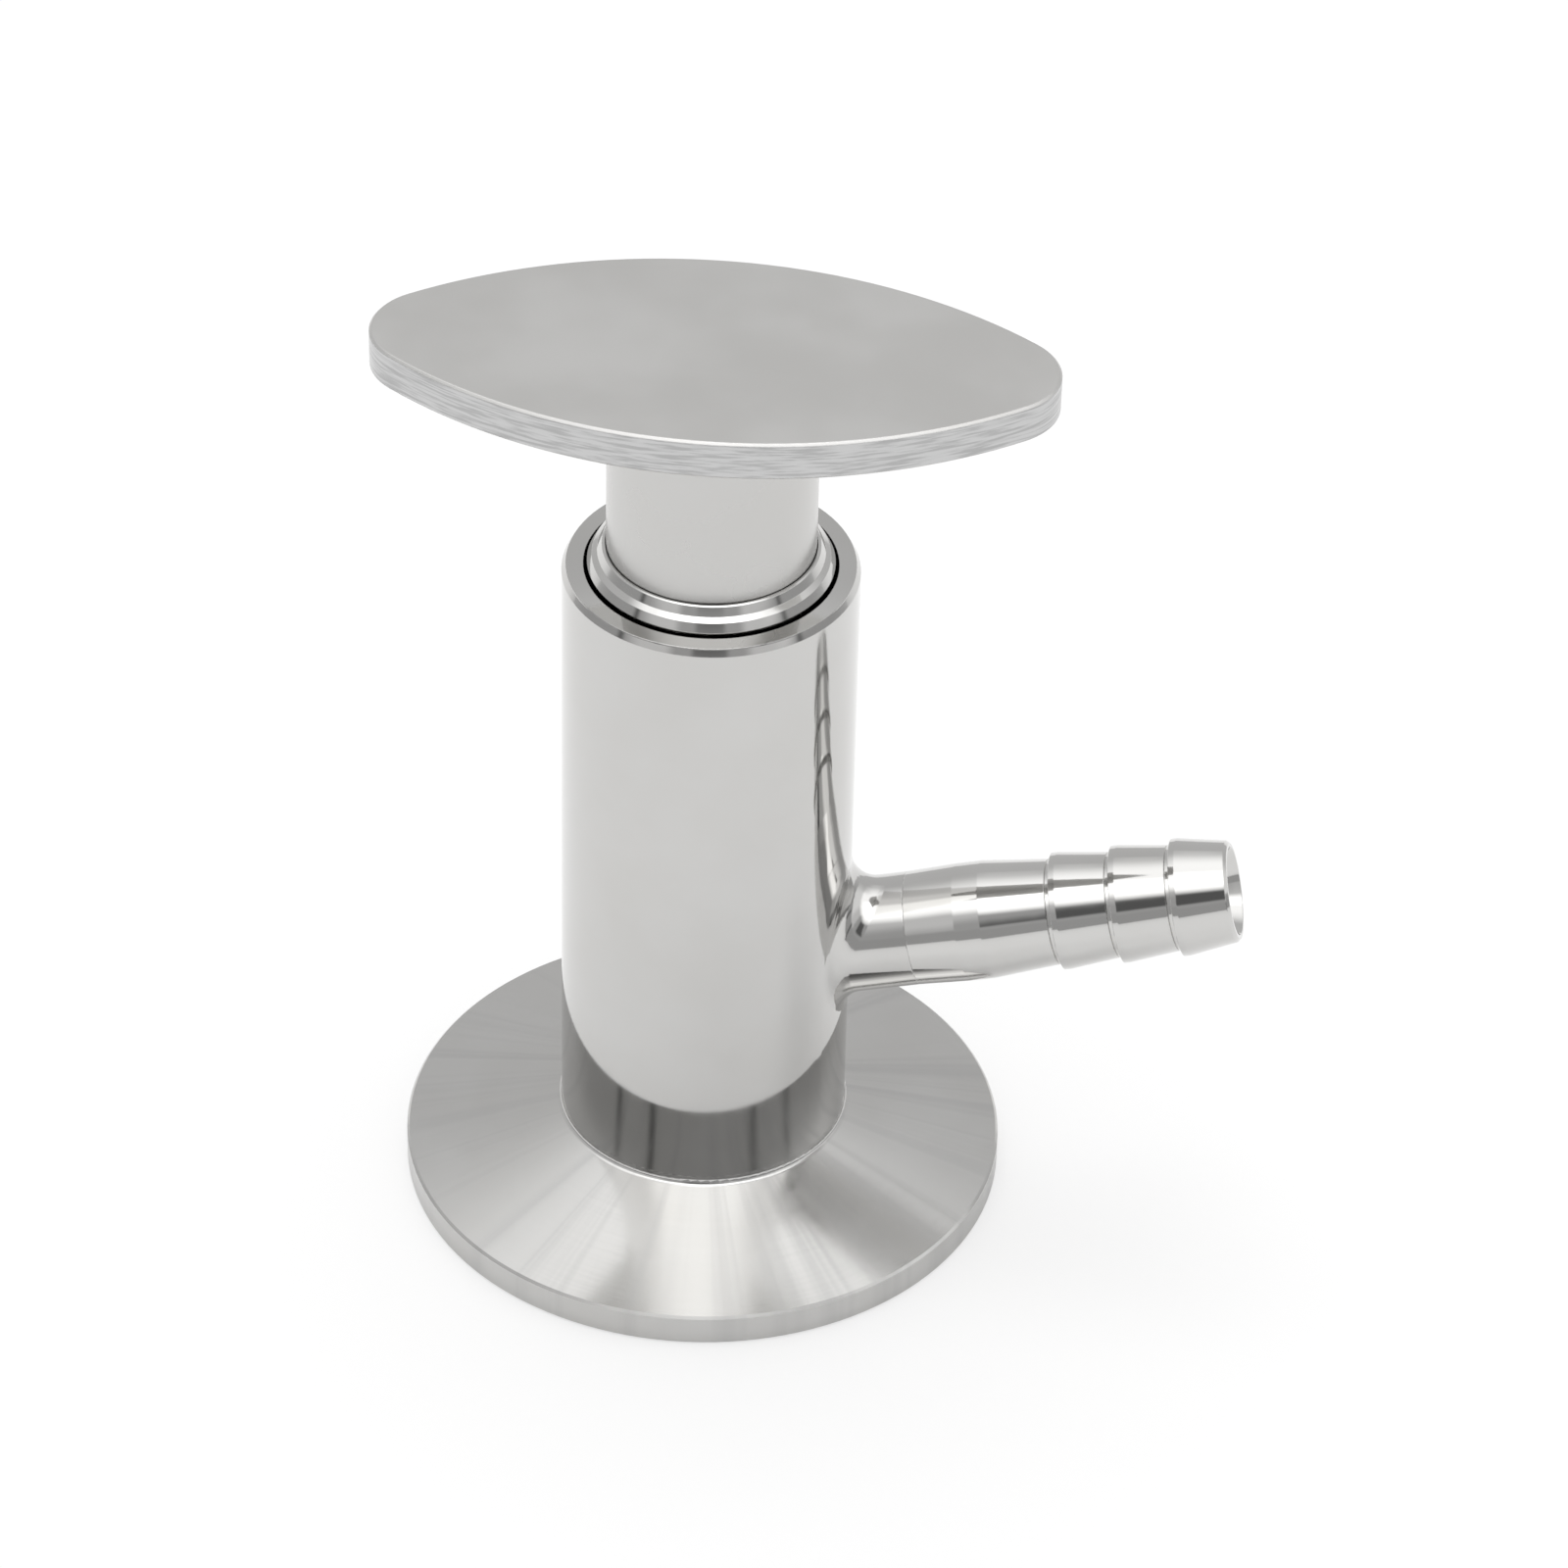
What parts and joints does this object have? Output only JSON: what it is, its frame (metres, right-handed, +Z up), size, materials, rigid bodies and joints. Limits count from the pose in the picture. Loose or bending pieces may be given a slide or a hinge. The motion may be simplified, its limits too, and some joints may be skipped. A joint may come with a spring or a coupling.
{
  "type": "sanitary sampling valve",
  "caption": "Stainless sampling valve with a clamp ferrule, polished tubular body, side hose barb and an oval twist handle that lifts a soft-tipped plunger.",
  "frame": {"origin": "centre of the clamp face, on the valve's turning axis", "axes": "+Z up the valve axis from the clamp face to the handle, +X towards the side where the hose barb stands, which leans up 13.6 degrees from +X"},
  "size_m": [0.0722, 0.0506, 0.0822],
  "materials": {
    "ferrule_steel": "turned stainless steel with a fine radial sheen",
    "polished_steel": "mirror polished stainless steel",
    "barb_steel": "mirror polished stainless steel",
    "bush_steel": "fine turned and polished stainless steel",
    "hub_steel": "satin stainless steel",
    "plate_steel": "bead blasted faces with a brushed edge",
    "inner_steel": "machined stainless steel",
    "spring_steel": "plain spring steel",
    "seal_rubber": "black EPDM rubber",
    "silicone": "translucent white silicone",
    "ptfe": "white PTFE"
  },
  "bodies": {
    "body": {"clamp_ferrule": "ferrule_steel", "valve_body": "polished_steel", "hose_barb": "barb_steel", "bonnet_bush": "bush_steel", "bonnet_oring": "seal_rubber", "hub_wiper": "seal_rubber"},
    "plunger": {"plunger": "inner_steel", "swivel_pins": "spring_steel", "thrust_washer": "ptfe", "lower_oring": "seal_rubber", "upper_oring": "seal_rubber", "seat_plug": "silicone"},
    "handle": {"spindle": "inner_steel", "stop_ring": "spring_steel", "handle_hub": "hub_steel", "handle_plate": "plate_steel"}
  },
  "joints": [
    {"name": "plunger_lift", "type": "slide", "parent": "body", "child": "plunger", "axis": [0, 0, 1], "range_m": [0, 0.005]},
    {"name": "handle_turn", "type": "hinge", "parent": "plunger", "child": "handle", "pos_m": [0, 0, 0.05], "axis": [0, 0, 1], "range_deg": [0, 900]}
  ],
  "couplings": [
    {"joint": "handle_turn", "follows": "plunger_lift", "rad_per_m": 3141.6}
  ]
}
